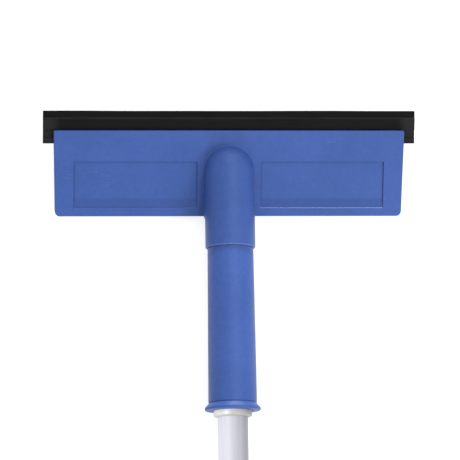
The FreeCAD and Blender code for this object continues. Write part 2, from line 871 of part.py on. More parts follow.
def make_pole_cap():
    """The moulded cap over the pole's end, drawn out into an eye to hang it by."""
    body = doc.addObject("PartDesign::Body", "pole_cap")
    bore = size("pole_radius") + size("pole_clear")
    corners = [
        (bore, cap_top),
        (bore, pole_foot),
        (ZERO, pole_foot),
        (ZERO, cap_foot),
        (size("cap_radius") - size("rim_chamfer"), cap_foot),
        (size("cap_radius"), cap_foot + size("rim_chamfer")),
        (size("cap_radius"), cap_top - size("rim_chamfer")),
        (size("cap_radius") - size("rim_chamfer"), cap_top),
    ]
    sketch = new_sketch(body, "cap_section", "XZ_Plane")
    closed_profile(sketch, corners)
    turn_profile(body, "cap_turning", sketch)
    half = size("eye_width") / 2
    eye_corners = [
        (-half, cap_foot + size("rim_chamfer")),
        (-half, eye_centre),
        (ZERO, eye_foot),
        (half, eye_centre),
        (half, cap_foot + size("rim_chamfer")),
    ]
    eye = new_sketch(body, "eye_outline", "XZ_Plane")
    closed_profile(eye, eye_corners, {1: half, 2: half})
    add_feature(body, "Pad", "eye", eye, size("eye_thickness"), both=True)
    hole = new_sketch(body, "eye_hole_circle", "XZ_Plane")
    circles(hole, [(ZERO, eye_centre)], size("eye_hole_radius"))
    add_feature(body, "Pocket", "eye_hole", hole, size("eye_thickness") * 2, both=True)
    drill_across(body, "cap_pin_hole", cap_pin_level, size("pin_radius") + size("pin_clear"))
    lay_down(body, "pole_cap", rest_slope)


def make_cross_pin(label, level, reach):
    """A plain drive pin along X through the pole and the piece it holds."""
    body = doc.addObject("PartDesign::Body", label)
    sketch = new_sketch(body, "pin_circle", "YZ_Plane")
    circles(sketch, [(ZERO, level)], size("pin_radius"))
    add_feature(body, "Pad", "pin", sketch, reach * 2, both=True)
    lay_down(body, label, rest_slope)


# ---- build, test and write ------------------------------------------------------------


def test_document():
    """Stop if any object failed or any sub-part is not a valid solid."""
    doc.recompute()
    for item in doc.Objects:
        if "Invalid" in item.State or "Error" in item.State:
            raise RuntimeError(f"{item.Name} failed: {item.State}")
    for item in parts:
        if item.Shape.isNull() or not item.Shape.isValid() or not item.Shape.Solids:
            raise RuntimeError(f"{item.Label} is not a valid solid")


def write_parts():
    """Write each sub-part to its own file."""
    os.makedirs("parts", exist_ok=True)
    for item in parts:
        item.Shape.exportStep(f"parts/{item.Label}.step")
        box = item.Shape.optimalBoundingBox()
        count = len(item.Shape.Solids)
        print(f"{item.Label:14s} {count} solid(s) {item.Shape.Volume:10.1f} mm3  {box}")


make_front_shell()
make_rear_cover()
make_shell_screws()
make_rubber_blade()
make_grip_sleeve()
make_neck_screw()
make_pole_tube()
make_pole_plug()
make_cross_pin("plug_pin", plug_pin_level, plug_radius)
make_pole_cap()
make_cross_pin("cap_pin", cap_pin_level, size("cap_radius"))
test_document()
write_parts()
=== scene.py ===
"""Looks of the window cleaning squeegee: small parts, finishes, studio and camera.

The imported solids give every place. Each class is one sub-assembly: it holds its sizes in
millimetres, works out its surfaces with numpy on a grid of two parameters and dresses
them. The two shells of the head and the pole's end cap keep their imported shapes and
get only their finish here.
"""

import json
import logging
import math
from dataclasses import dataclass
from enum import Enum
from functools import cache, cached_property
from typing import Any

import bpy
import numpy as np
from mathutils import Matrix, Vector


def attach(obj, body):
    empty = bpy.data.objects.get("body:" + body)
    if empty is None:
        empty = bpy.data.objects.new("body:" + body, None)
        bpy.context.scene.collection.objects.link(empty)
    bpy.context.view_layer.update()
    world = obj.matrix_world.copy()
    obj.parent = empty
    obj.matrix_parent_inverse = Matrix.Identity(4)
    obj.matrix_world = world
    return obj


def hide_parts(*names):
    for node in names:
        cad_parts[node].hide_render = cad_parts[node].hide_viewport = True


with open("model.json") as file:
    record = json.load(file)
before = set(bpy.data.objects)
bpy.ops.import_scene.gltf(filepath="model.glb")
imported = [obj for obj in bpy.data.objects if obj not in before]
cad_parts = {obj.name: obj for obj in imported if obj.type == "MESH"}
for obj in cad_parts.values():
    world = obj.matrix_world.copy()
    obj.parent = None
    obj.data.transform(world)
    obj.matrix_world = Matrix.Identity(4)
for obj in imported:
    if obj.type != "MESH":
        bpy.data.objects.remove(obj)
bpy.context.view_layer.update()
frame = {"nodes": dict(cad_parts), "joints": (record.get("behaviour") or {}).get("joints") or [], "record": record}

MM = 0.001

Piece = bpy.types.Object
Material = bpy.types.Material
Socket = bpy.types.NodeSocket
Triple = tuple[float, float, float]
Band = tuple[float, ...]

logging.basicConfig(level=logging.INFO, format="%(name)s: %(message)s")
log = logging.getLogger("squeegee")


class BodyName(Enum):
    """The rigid bodies that the joints move."""

    HEAD = "head"
    BLADE = "blade"
    POLE = "pole"


class Slot(Enum):
    """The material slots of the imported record."""

    BLUE_PLASTIC = "blue_plastic"
    BLACK_RUBBER = "black_rubber"
    WHITE_PLASTIC = "white_plastic"
    COATED_STEEL = "coated_steel"
    ZINC_STEEL = "zinc_steel"


# ---- places ----


@dataclass(frozen=True)
class Axes:
    """A frame through the neck point, leaning about X.

    Attributes:
        origin_y: the neck point along the row frame's Y, in metres.
        origin_z: its height, in metres.
        lean: how far the frame's Z axis rises from the row frame's Y, in radians.
    """

    origin_y: float
    origin_z: float
    lean: float

    def place(self, points: np.ndarray) -> np.ndarray:
        """Carry points into the row frame.

        In words: Z of this frame runs along the row's Y and up by the lean, and its Y
        (backwards) runs down, square to that.

        Args:
            points: array (..., 3) in millimetres, X across, Y backwards, Z up the axis.

        Returns:
            The same points in the row frame, in metres.
        """
        across, back, up = (points[..., axis] * MM for axis in range(3))
        cosine, sine = math.cos(self.lean), math.sin(self.lean)
        along = self.origin_y + up * cosine + back * sine
        height = self.origin_z + up * sine - back * cosine
        return np.stack((across, along, height), axis=-1)

    def point(self, across: float, back: float, up: float) -> Vector:
        """One point of this frame, in metres in the row frame."""
        return Vector(self.place(np.array((across, back, up), float)))


@dataclass(frozen=True)
class Layout:
    """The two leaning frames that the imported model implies.

    Attributes:
        head_bend: degrees between the head's face and the handle's axis.
        eye_drop: millimetres from the neck point down to the hanging eye's middle.
    """

    head_bend: float = 22.0
    eye_drop: float = 635.45

    def handle(self) -> Axes:
        """The frame along the handle's axis, from the joint's axis and the eye's place.

        Returns:
            The frame, with the neck point as its origin.
        """
        axis = joint_axis("pole_pull")
        eye = Vector(frame["record"]["mounts"][0]["pos_m"])
        neck = eye - axis * self.eye_drop * MM
        return Axes(neck.y, neck.z, math.atan2(-axis.z, -axis.y))

    def head(self) -> Axes:
        """The frame up the head's face, bent from the handle's."""
        handle = self.handle()
        return Axes(handle.origin_y, handle.origin_z, handle.lean + math.radians(self.head_bend))


def joint_axis(name: str) -> Vector:
    """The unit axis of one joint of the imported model."""
    joint = next(item for item in frame["joints"] if item["name"] == name)
    return Vector(joint["axis"]).normalized()


# ---- surfaces ----


def grid_quads(rows: int, columns: int, ring: bool) -> np.ndarray:
    """Corner numbers of a grid's quads.

    In words: quad (i, j) joins point (i, j) to its neighbours one row on and one column
    on. The columns close into a ring, and the rows too where ring is set.

    Args:
        rows: number of rows.
        columns: points in a row, closed on itself.
        ring: whether the last row joins the first.

    Returns:
        Array (quads, 4) of point numbers.
    """
    row = np.arange(rows if ring else rows - 1)[:, None]
    column = np.arange(columns)[None, :]
    after = (column + 1) % columns
    above = (row + 1) % rows
    corners = (row * columns + column, row * columns + after)
    corners += (above * columns + after, above * columns + column)
    return np.stack(np.broadcast_arrays(*corners), axis=-1).reshape(-1, 4)


def signed_volume(points: np.ndarray, quads: np.ndarray) -> float:
    """Volume inside closed quads, negative where they face inwards.

    In words: the sum over both triangles of every quad of a sixth of the box product of
    the triangle's corners.

    Args:
        points: array (n, 3).
        quads: array (quads, 4) of point numbers.

    Returns:
        The volume, in the cube of the points' unit.
    """
    a, b, c, d = (points[quads[:, corner]] for corner in range(4))
    first = np.einsum("ij,ij->i", a, np.cross(b, c)).sum()
    second = np.einsum("ij,ij->i", a, np.cross(c, d)).sum()
    return float(first + second) / 6.0


def shell(grid: np.ndarray, ring: bool) -> tuple[np.ndarray, list[list[int]]]:
    """Close a grid of points into one shell.

    In words: the columns close round, the first and last rows are closed by one flat
    face each unless the rows form a ring, and the whole is turned so that its faces look
    outwards.

    Args:
        grid: array (rows, columns, 3).
        ring: whether the last row joins the first.

    Returns:
        The points (n, 3) and the faces' corner numbers.
    """
    rows, columns = grid.shape[:2]
    points = grid.reshape(-1, 3)
    quads = grid_quads(rows, columns, ring)
    inside_out = signed_volume(points - points.mean(axis=0), quads) < 0
    faces = (quads[:, ::-1] if inside_out else quads).tolist()
    if not ring:
        first = list(range(columns))
        last = list(range((rows - 1) * columns, rows * columns))
        faces.append(first if inside_out else first[::-1])
        faces.append(last[::-1] if inside_out else last)
    return points, faces


def surface(name: str, *grids: np.ndarray, crease: float, ring: bool = False) -> Piece:
    """Make a mesh object of one closed shell for each grid of points.

    Args:
        name: the piece's name.
        *grids: arrays (rows, columns, 3) in metres, in the row frame.
        crease: degrees between faces past which the edge between them stays sharp.
        ring: whether each grid's last row joins its first.

    Returns:
        The new object, at the origin.
    """
    points, faces = [], []
    for grid in grids:
        shell_points, shell_faces = shell(grid, ring)
        faces += [[corner + len(points) for corner in face] for face in shell_faces]
        points += shell_points.tolist()
    mesh = bpy.data.meshes.new(name)
    mesh.from_pydata(points, [], faces)
    mesh.validate()
    mesh.polygons.foreach_set("use_smooth", np.ones(len(mesh.polygons), bool))
    mesh.set_sharp_from_angle(angle=math.radians(crease))
    piece = bpy.data.objects.new(name, mesh)
    bpy.context.scene.collection.objects.link(piece)
    return piece


def rounded(corners: np.ndarray, steps: int) -> np.ndarray:
    """Round every corner of a closed outline.

    In words: at each corner the arc's centre lies on the bisector at radius over the
    sine of half the angle, and its points turn evenly from one tangent point to the
    other.

    Args:
        corners: array (n, 3) of places and radius, in order round the outline.
        steps: points on each arc.

    Returns:
        Array (n * steps, 2) in the same order.
    """
    corners, radii = corners[:, :2], corners[:, 2]
    back = np.roll(corners, 1, axis=0) - corners
    on = np.roll(corners, -1, axis=0) - corners
    back /= np.linalg.norm(back, axis=1, keepdims=True)
    on /= np.linalg.norm(on, axis=1, keepdims=True)
    half = np.arccos(np.clip((back * on).sum(axis=1), -0.9999, 0.9999)) / 2
    reach = (radii / np.tan(half))[:, None]
    bisector = back + on
    bisector /= np.linalg.norm(bisector, axis=1, keepdims=True)
    centre = corners + bisector * (radii / np.sin(half))[:, None]
    start = corners + back * reach - centre
    end = corners + on * reach - centre
    turn = (math.pi - 2 * half)[:, None]
    share = np.linspace(0.0, 1.0, steps)[None, :]
    weight_start = (np.sin((1 - share) * turn) / np.sin(turn))[..., None]
    weight_end = (np.sin(share * turn) / np.sin(turn))[..., None]
    arcs = centre[:, None] + start[:, None] * weight_start + end[:, None] * weight_end
    return arcs.reshape(-1, 2)


def turned(
    outline: np.ndarray, segments: int, ridge: float = 0.0, ridge_width: float = 1.0
) -> np.ndarray:
    """Carry a closed outline round the Z axis.

    In words: point (i, j) is the outline's point i turned by the angle j, with its
    radius raised by a narrow bell-shaped ridge where the halves of the mould meet.

    Args:
        outline: array (n, 2) of radius and level.
        segments: points round the axis.
        ridge: height of the parting ridge, zero for none.
        ridge_width: its width as an angle, in degrees.

    Returns:
        Grid (n, segments, 3) in the frame of the axis.
    """
    angle = np.linspace(0.0, 2 * math.pi, segments, endpoint=False)[None, :]
    bell = np.exp(-((np.sin(angle) / math.sin(math.radians(ridge_width))) ** 2))
    radius = outline[:, 0][:, None] + ridge * bell
    level = np.broadcast_to(outline[:, 1][:, None], radius.shape)
    return np.stack((radius * np.cos(angle), radius * np.sin(angle), level), axis=-1)


# ---- finishes ----


def linear(hex_colour: str) -> tuple[float, float, float, float]:
    """Turn an sRGB hex colour into linear light.

    Args:
        hex_colour: the colour as "#rrggbb".

    Returns:
        Red, green and blue in linear light, and full opacity.
    """
    channels = np.array([int(hex_colour[i:i + 2], 16) for i in (1, 3, 5)]) / 255.0
    light = np.where(channels <= 0.04045, channels / 12.92, ((channels + 0.055) / 1.055) ** 2.4)
    return (*light.tolist(), 1.0)


def per_mm(size: float) -> float:
    """Scale of a pattern on object coordinates whose features are size mm across."""
    return 1 / (size * MM)


class Kind(Enum):
    """The kinds of shader node in use, each with what __init__ keeps of it."""

    PLACE = ("TexCoord", (), "Object")
    LAID = ("Mapping", ("Vector", "Scale", "Rotation"), "Vector")
    NOISE = ("TexNoise", ("Vector", "Scale", "Detail"), "Fac", {}, {"Roughness": 0.55})
    CELLS = ("TexVoronoi", ("Vector", "Scale"), "Distance")
    MAP_VALUE = ("Attribute", (), "Fac")
    X_OF = ("SeparateXYZ", (0,), "X")
    Y_OF = ("SeparateXYZ", (0,), "Y")
    RED_OF = ("SeparateColor", (0,), "Red")
    SUM = ("Math", (0, 1), 0, {"operation": "ADD"})
    DIFFERENCE = ("Math", (0, 1), 0, {"operation": "SUBTRACT"})
    PRODUCT = ("Math", (0, 1), 0, {"operation": "MULTIPLY"})
    LARGER = ("Math", (0, 1), 0, {"operation": "MAXIMUM"})
    UNSIGNED = ("Math", (0,), 0, {"operation": "ABSOLUTE"})
    RAMP = (
        "MapRange", ("Value", "From Min", "From Max", "To Min", "To Max"), "Result",
        {"interpolation_type": "SMOOTHSTEP"},
    )
    BLEND = ("Mix", (0, 6, 7), 2, {"data_type": "RGBA"})
    OPENNESS = ("AmbientOcclusion", ("Distance",), "AO", {"samples": 8})
    ROUNDED = ("Bevel", ("Radius",), "Normal", {"samples": 4})
    BUMP = ("Bump", ("Height", "Strength", "Distance", "Normal"), "Normal")
    SHADER = ("BsdfPrincipled", (), "BSDF")
    SKY = ("Background", ("Color", "Strength"), "Background")
    MATERIAL_END = ("OutputMaterial", ("Surface",), None)
    WORLD_END = ("OutputWorld", ("Surface",), None)

    def __init__(
        self, type_name: str, order: tuple[str | int, ...], output: str | int | None,
        settings: dict[str, Any] | None = None, fixed: dict[str, float] | None = None,
    ) -> None:
        """Keep what describes the kind.

        Args:
            type_name: Blender's name of the type, after "ShaderNode".
            order: the inputs that are set in order, by name or number.
            output: the main output, or None for an end node.
            settings: attributes that the node always gets.
            fixed: inputs that always hold one value.
        """
        self.type_name, self.order, self.output = type_name, order, output
        self.settings, self.fixed = settings or {}, fixed or {}


def add_node(
    tree: bpy.types.NodeTree, kind: Kind, *values: Any,
    inputs: dict[str, Any] | None = None, **settings: Any,
) -> Socket | None:
    """Add one shader node with its settings and links.

    Args:
        tree: the node tree that it joins.
        kind: what kind of node it is.
        *values: value or linked socket of each of the kind's inputs, in its order.
        inputs: the same for other inputs, by name.
        **settings: attributes of the node itself, besides the kind's own.

    Returns:
        The node's main output, or None for an end node.
    """
    node = tree.nodes.new("ShaderNode" + kind.type_name)
    for name, value in (kind.settings | settings).items():
        setattr(node, name, value)
    values_by_key = dict(zip(kind.order, values)) | kind.fixed | (inputs or {})
    for key, value in values_by_key.items():
        if isinstance(value, Socket):
            tree.links.new(value, node.inputs[key])
        else:
            node.inputs[key].default_value = value
    return None if kind.output is None else node.outputs[kind.output]


@dataclass(frozen=True)
class Finish:
    """What every finish shares: a name, a material and the patterns that make its look."""

    name: str

    @cached_property
    def material(self) -> Material:
        """The material, whose tree is empty until the finish is built.

        Returns:
            The material.
        """
        material = bpy.data.materials.new(self.name)
        material.use_nodes = True
        material.node_tree.nodes.clear()
        return material

    @cached_property
    def place(self) -> Socket:
        """Object coordinates, in metres."""
        return self.add(Kind.PLACE)

    def add(self, kind: Kind, *values: Any, **more: Any) -> Socket | None:
        """Add one node to the material, as add_node does."""
        return add_node(self.material.node_tree, kind, *values, **more)

    def blotches(self, place: Socket, size_mm: float, detail: float, *band: float) -> Socket:
        """Soft blotches about size_mm across: noise, spread over a band of its levels."""
        return self.add(Kind.RAMP, self.add(Kind.NOISE, place, per_mm(size_mm), detail), *band)

    def masked(self, share: Socket, *masks: tuple[Socket, Band]) -> Socket:
        """Weaken a share by where each value lies in its band.

        Args:
            share: the share to weaken.
            *masks: values, each with the band that it is spread over.

        Returns:
            The product of them all.
        """
        for value, band in masks:
            share = self.add(Kind.PRODUCT, share, self.add(Kind.RAMP, value, *band))
        return share

    def specks(self, gap_mm: float, radius_mm: float, share: float) -> Socket:
        """Scattered round specks on about a third of the cells of an uneven net.

        Args:
            gap_mm: how wide a cell is.
            radius_mm: how far a speck reaches.
            share: how strong it is in its middle.

        Returns:
            The share inside, 0 outside.
        """
        cells = self.add(Kind.CELLS, self.place, per_mm(gap_mm))
        rim = radius_mm / gap_mm
        dot = self.add(Kind.RAMP, cells, rim, rim * 0.4)
        chance = self.add(Kind.RED_OF, cells.node.outputs["Color"])
        speck = self.masked(dot, (chance, (0.64, 0.70)))
        return self.add(Kind.RAMP, speck, 0.0, 1.0, 0.0, share)

    def scratches(self, turn: float, reach_mm: float, share: float) -> Socket:
        """Hair scratches: thin bands of a stretched noise, broken up by a wider one.

        Args:
            turn: how far they are turned about Z, in radians.
            reach_mm: about how long they are.
            share: how strong they are.

        Returns:
            The share inside, 0 outside.
        """
        long = self.add(Kind.LAID, self.place, (1.0, 14.0, 14.0), (0.3, 0.2, turn))
        hair = self.add(Kind.NOISE, long, per_mm(reach_mm), 1.0)
        off = self.add(Kind.UNSIGNED, self.add(Kind.DIFFERENCE, hair, 0.5))
        patch = self.blotches(self.place, reach_mm * 0.7, 1.0, 0.60, 0.68)
        scratch = self.add(Kind.PRODUCT, self.add(Kind.RAMP, off, 0.006, 0.001), patch)
        return self.add(Kind.RAMP, scratch, 0.0, 1.0, 0.0, share)

    def tinted(self, base: str, *coats: tuple[Socket, str]) -> Socket:
        """Lay tints over a base colour, one after another.

        Args:
            base: sRGB hex colour.
            *coats: the share and the sRGB hex colour of each tint.

        Returns:
            The colour that comes of them.
        """
        colour = linear(base)
        for share, tint in coats:
            colour = self.add(Kind.BLEND, share, colour, linear(tint))
        return colour

    def look(self) -> dict[str, Any]:
        """The shader's inputs by name, which each finish works out for itself."""
        raise NotImplementedError

    def build(self) -> Material:
        """Give the material its look on one shader, and hand it over."""
        self.add(Kind.MATERIAL_END, self.add(Kind.SHADER, inputs=self.look()))
        return self.material


@dataclass(frozen=True)
class MouldedPolypropylene(Finish):
    """Injection-moulded polypropylene from a lightly spark-eroded mould.

    To the eye: a deep even colour with a faint cloudiness where the pigment flowed, a
    satin skin with a fine grain, a soft waviness in the highlights, and a few hair
    scratches and dust specks from handling. Painted shade darkens the corners and the
    ramps at the panels' foot, and a painted highlight lightens some outer edges. A band
    is two values, and the shares at both where these aren't 0 and 1: values of openness
    or of a normal, or places of the row frame in metres.
    """

    colour: str = "#2d4782"
    cloud: str = "#314b88"
    cloud_mm: float = 38.0
    mottle_mm: float = 3.2
    scuff: str = "#6a7db4"
    scuff_share: float = 0.22
    scratch_mm: float = 26.0
    speck_gap_mm: float = 15.0
    speck_mm: float = 0.34
    roughness: float = 0.40
    sheen_mm: float = 11.0  # patches of more and less sheen
    arris_mm: float = 0.35  # round of the moulded edges
    wave_mm: float = 24.0  # sink over ribs and walls
    wave_depth_mm: float = 0.6
    grain_mm: float = 0.9  # the real grain, near 0.2 mm, is drawn coarser so that it shows
    grain_depth_mm: float = 0.045
    # painted shade, darkening corners, creases and the ramps at the panels' foot
    painted_shade: str = "#122a60"
    corner_mm: float = 1.6  # how far the painted shade reaches out of a corner
    corner_open: Band = (0.45, 0.95, 0.80, 0.0)
    less_shade_above: Band = (0.3068, 0.3078, 1.0, 0.25)  # less painted shade above the panels
    less_shade_at_rim: tuple[Band, Band] = (  # and less at the hub's rim, above and below it
        (0.2505, 0.2515, 0.2, 1.0), (0.2485, 0.2475, 0.2, 1.0))
    # painted shade on the ramps at the panels' foot
    ramp_shade_share: float = 0.24
    ramp_shade_levels: tuple[Band, Band] = ((0.2790, 0.2797), (0.2862, 0.2838))
    ramp_shade_ends: tuple[Band, Band] = ((0.0212, 0.0222), (0.1052, 0.1042))  # off the middle
    # painted highlight colour along some outer edges
    rub_and_highlight: str = "#b4c4ec"
    edge_mm: float = 0.55  # width of the painted highlight line along an outer edge
    edge_open: Band = (0.93, 0.72)
    side_lean: float = -0.28  # Y of the normal on edges along the stroke, which get no painted highlight
    off_side: Band = (0.12, 0.20)  # how far from that an edge starts to get the painted highlight
    highlight_sides: Band = (-0.04, 0.03, 0.12, 0.95)  # the painted highlight grows from left to right
    highlight_levels: tuple[Band, Band] = ((0.2840, 0.2815), (0.150, 0.170))

    def corner_shade(self) -> Socket:
        """Painted shade in the corners.

        In words: where little of the sky is open within a corner's reach, less above the
        panels and at the hub's rim.

        Returns:
            The share, from 0 to 1.
        """
        add, place = self.add, self.place
        corner = add(Kind.RAMP, add(Kind.OPENNESS, self.corner_mm * MM), *self.corner_open)
        level = add(Kind.Y_OF, place)
        above, below = (add(Kind.RAMP, level, *band) for band in self.less_shade_at_rim)
        corner_shade = self.masked(corner, (level, self.less_shade_above))
        return add(Kind.PRODUCT, corner_shade, add(Kind.LARGER, above, below))

    def ramp_shade(self) -> Socket:
        """Painted shade on the ramps at the foot of both panels.

        In words: a band across the head between two levels, from the panels' inner to
        their outer ends, with soft ends.

        Returns:
            The share, from 0 to 1.
        """
        add, place = self.add, self.place
        level = add(Kind.Y_OF, place)
        aside = add(Kind.UNSIGNED, add(Kind.X_OF, place))
        low, high = self.ramp_shade_levels
        inner, outer = self.ramp_shade_ends
        ramp_shade = add(Kind.RAMP, level, *low, 0.0, self.ramp_shade_share)
        return self.masked(ramp_shade, (level, high), (aside, inner), (aside, outer))

    def edge_highlight(self) -> Socket:
        """How strongly a painted highlight lies along each outer edge.

        In words: near an outer edge rays cast inwards soon leave the wall again. Edges
        that run across the stroke get it, those along it don't. Only the head's foot and
        the hub's rim get it, and the right side more than the left.

        Returns:
            The share, from 0 to 1.
        """
        add, place = self.add, self.place
        thin = add(Kind.OPENNESS, self.edge_mm * MM, inside=True)
        lean = add(Kind.Y_OF, add(Kind.ROUNDED, self.edge_mm * MM))
        off_side = add(Kind.UNSIGNED, add(Kind.DIFFERENCE, lean, self.side_lean))
        level = add(Kind.Y_OF, place)
        low, high = self.highlight_levels
        share = add(Kind.RAMP, add(Kind.X_OF, place), *self.highlight_sides)
        share = self.masked(share, (thin, self.edge_open), (off_side, self.off_side))
        return self.masked(share, (level, low), (level, high))

    def look(self) -> dict[str, Any]:
        """A cloudy colour, marks, painted shade and painted edge highlights on a wavy, grained skin.

        Returns:
            The shader's inputs by name.
        """
        add, place = self.add, self.place
        cloud = self.blotches(place, self.cloud_mm, 2.0, 0.35, 0.65)
        mottle = self.blotches(place, self.mottle_mm, 2.0, 0.3, 0.7)
        hair = self.scratches(0.9, self.scratch_mm, self.scuff_share)
        dust = self.specks(self.speck_gap_mm, self.speck_mm, self.scuff_share)
        colour = self.tinted(
            self.colour,
            (add(Kind.RAMP, add(Kind.SUM, cloud, mottle), 0.0, 2.0), self.cloud),
            (add(Kind.LARGER, hair, dust), self.scuff),
            # painted shade in corners and on the ramps, then painted highlights on edges
            (self.corner_shade(), self.painted_shade),
            (self.ramp_shade(), self.painted_shade),
            (self.edge_highlight(), self.rub_and_highlight),
        )
        sheen = (self.roughness - 0.05, self.roughness + 0.05)
        wave = add(Kind.NOISE, place, per_mm(self.wave_mm), 1.0)
        arris = add(Kind.ROUNDED, self.arris_mm * MM)
        soft = add(Kind.BUMP, wave, 0.25, self.wave_depth_mm * MM, arris)
        grain = add(Kind.NOISE, place, per_mm(self.grain_mm), 2.0)
        return {
            "Base Color": colour,
            "Roughness": self.blotches(place, self.sheen_mm, 3.0, 0.3, 0.7, *sheen),
            "IOR": 1.49,
            "Specular IOR Level": 0.22,
            "Normal": add(Kind.BUMP, grain, 0.30, self.grain_depth_mm * MM, soft),
        }


@dataclass(frozen=True)
class ExtrudedRubber(Finish):
    """Extruded natural rubber, carbon black.

    To the eye: near black and almost matt, with fine lines along the extrusion, a grey
    bloom in patches and lint caught on it. The strip's own map says how far the bloom
    has come out: 0 where it is wiped off, 1 elsewhere, and more towards both ends, where
    it is painted light that lightens the ends.
    """

    wiped: str = "#060606"
    colour: str = "#0d0d0d"
    # painted light that lightens both ends of the strip
    lit_end: str = "#1e1e1f"
    bloom_and_light_map: str = "bloom"
    lit_end_peak: float = 1.8
    bloom: str = "#161616"
    bloom_mm: float = 9.0
    line_mm: float = 0.5
    line_depth_mm: float = 0.05
    lint: str = "#4a4948"
    lint_gap_mm: float = 9.0
    lint_mm: float = 0.22
    arris_mm: float = 0.15
    roughness: float = 0.72

    def look(self) -> dict[str, Any]:
        """Bloom and lint over the black, and lines along the strip.

        Returns:
            The shader's inputs by name.
        """
        add, place = self.add, self.place
        lines = add(Kind.NOISE, add(Kind.LAID, place, (0.02, 1.0, 1.0)), per_mm(self.line_mm), 2.0)
        long = add(Kind.LAID, place, (0.35, 1.0, 1.0))
        patches = self.blotches(long, self.bloom_mm, 4.0, 0.42, 0.72)
        bloom_and_end_light = add(Kind.MAP_VALUE, attribute_name=self.bloom_and_light_map)
        colour = self.tinted(
            self.wiped,
            (add(Kind.RAMP, bloom_and_end_light, 0.0, 1.0), self.colour),
            # painted light: lighter towards both ends
            (add(Kind.RAMP, bloom_and_end_light, 1.0, self.lit_end_peak), self.lit_end),
            (add(Kind.PRODUCT, patches, add(Kind.RAMP, lines, 0.35, 0.75)), self.bloom),
            (self.specks(self.lint_gap_mm, self.lint_mm, 0.5), self.lint),
        )
        dull = (self.roughness - 0.06, self.roughness + 0.12)
        arris = add(Kind.ROUNDED, self.arris_mm * MM)
        return {
            "Base Color": colour,
            "Roughness": add(Kind.RAMP, patches, 0.0, 1.0, *dull),
            "IOR": 1.52,
            "Specular IOR Level": 0.08,
            "Normal": add(Kind.BUMP, lines, 0.5, self.line_depth_mm * MM, arris),
        }


@dataclass(frozen=True)
class NaturalPolypropylene(Finish):
    """Uncoloured polypropylene with a warm white, moulded in a polished mould.

    To the eye: milky and slightly translucent at thin edges, with rubbed grey streaks
    along the plug where it has been pushed home.
    """

    colour: str = "#a9a8a6"
    shade: str = "#a09f9c"
    shade_mm: float = 9.0
    rub_and_highlight: str = "#9c9a98"
    streak_mm: float = 1.6
    roughness: float = 0.32
    arris_mm: float = 0.2
    ripple_mm: float = 1.1
    ripple_depth_mm: float = 0.05
    glow_mm: float = 1.5  # how far light creeps under the skin

    def look(self) -> dict[str, Any]:
        """A milky body with rubbed streaks and a slight ripple.

        Returns:
            The shader's inputs by name.
        """
        add, place = self.add, self.place
        long = add(Kind.LAID, place, (1.0, 0.05, 1.0))
        streaks = add(Kind.NOISE, long, per_mm(self.streak_mm), 2.0)
        colour = self.tinted(
            self.colour,
            (self.blotches(place, self.shade_mm, 3.0, 0.35, 0.65), self.shade),
            (add(Kind.RAMP, streaks, 0.62, 0.78, 0.0, 0.3), self.rub_and_highlight),
        )
        ripple = add(Kind.NOISE, place, per_mm(self.ripple_mm), 2.0)
        arris = add(Kind.ROUNDED, self.arris_mm * MM)
        rough = (self.roughness, self.roughness + 0.14)
        return {
            "Base Color": colour,
            "Roughness": add(Kind.RAMP, streaks, 0.3, 0.8, *rough),
            "IOR": 1.49,
            "Normal": add(Kind.BUMP, ripple, 0.2, self.ripple_depth_mm * MM, arris),
            "Subsurface Weight": 0.12,
            "Subsurface Scale": self.glow_mm * MM,
            "Subsurface Radius": (1.0, 0.95, 0.85),
        }


@dataclass(frozen=True)
class CoatedSteelTube(Finish):
    """Thin steel tube, roller-coated with a light grey-white polyester paint.

    To the eye: smooth and semi-gloss with a faint orange peel, slight streaks along the
    tube from the rollers, and a few grey rub marks.
    """

    colour: str = "#a2a2aa"
    streak: str = "#9c9ca4"
    streak_mm: float = 2.5
    rub: str = "#8c8c92"
    scratch_mm: float = 34.0
    speck_gap_mm: float = 13.0
    speck_mm: float = 0.25
    roughness: float = 0.46
    sheen_mm: float = 7.0
    peel_mm: float = 2.2
    peel_depth_mm: float = 0.05

    def look(self) -> dict[str, Any]:
        """Streaks and rub marks on paint with an orange peel.

        Returns:
            The shader's inputs by name.
        """
        add, place = self.add, self.place
        long = add(Kind.LAID, place, (1.0, 0.03, 1.0))
        colour = self.tinted(
            self.colour,
            (self.blotches(long, self.streak_mm, 2.0, 0.35, 0.65), self.streak),
            (self.scratches(0.25, self.scratch_mm, 0.55), self.rub),
            (self.specks(self.speck_gap_mm, self.speck_mm, 0.35), self.rub),
        )
        sheen = (self.roughness - 0.04, self.roughness + 0.06)
        peel = add(Kind.NOISE, place, per_mm(self.peel_mm), 1.0)
        return {
            "Base Color": colour,
            "Roughness": self.blotches(place, self.sheen_mm, 3.0, 0.3, 0.7, *sheen),
            "IOR": 1.5,
            "Specular IOR Level": 0.25,
            "Normal": add(Kind.BUMP, peel, 0.25, self.peel_depth_mm * MM),
        }


@dataclass(frozen=True)
class ZincPlatedSteel(Finish):
    """Zinc-plated steel, clear passivated, turned or cold-headed.

    To the eye: soft bluish silver with fine turning lines and duller blotches.
    """

    colour: str = "#c3c6c9"
    blotch: str = "#a4a296"
    blotch_mm: float = 1.8
    roughness: float = 0.3
    line_mm: float = 0.35
    line_depth_mm: float = 0.02

    def look(self) -> dict[str, Any]:
        """Duller blotches on silver, with a fine unevenness.

        Returns:
            The shader's inputs by name.
        """
        add, place = self.add, self.place
        patches = self.blotches(place, self.blotch_mm, 4.0, 0.40, 0.68)
        lines = add(Kind.NOISE, place, per_mm(self.line_mm), 2.0)
        rough = (self.roughness, self.roughness + 0.2)
        return {
            "Base Color": self.tinted(self.colour, (patches, self.blotch)),
            "Metallic": 1.0,
            "Roughness": add(Kind.RAMP, patches, 0.0, 1.0, *rough),
            "Normal": add(Kind.BUMP, lines, 0.25, self.line_depth_mm * MM),
        }


